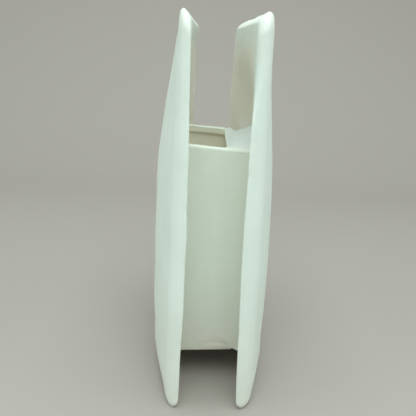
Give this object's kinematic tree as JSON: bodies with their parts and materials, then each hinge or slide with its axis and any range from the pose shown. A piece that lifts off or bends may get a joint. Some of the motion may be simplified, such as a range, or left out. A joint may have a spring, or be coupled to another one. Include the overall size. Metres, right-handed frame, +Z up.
{
  "type": "plaster mold",
  "caption": "Plaster piece of two upright dished slabs standing on edge, joined by a hollow box that is open at the top.",
  "frame": {"origin": "middle of the whole piece, on the surface that both slabs stand on", "axes": "+X across the slabs, from the left one to the right one; +Y the depth of the slabs, away from the front; +Z up"},
  "size_m": [0.1024, 0.224, 0.304],
  "materials": {
    "slab_plaster": "matte",
    "box_plaster": "matte",
    "joint_plaster": "matte"
  },
  "bodies": {
    "root": {"left_slab": "slab_plaster", "right_slab": "slab_plaster", "front_wall": "box_plaster", "back_wall": "box_plaster", "right_wall": "box_plaster", "floor_panel": "box_plaster", "right_infill": "joint_plaster", "foot_smear": "joint_plaster"}
  },
  "joints": []
}
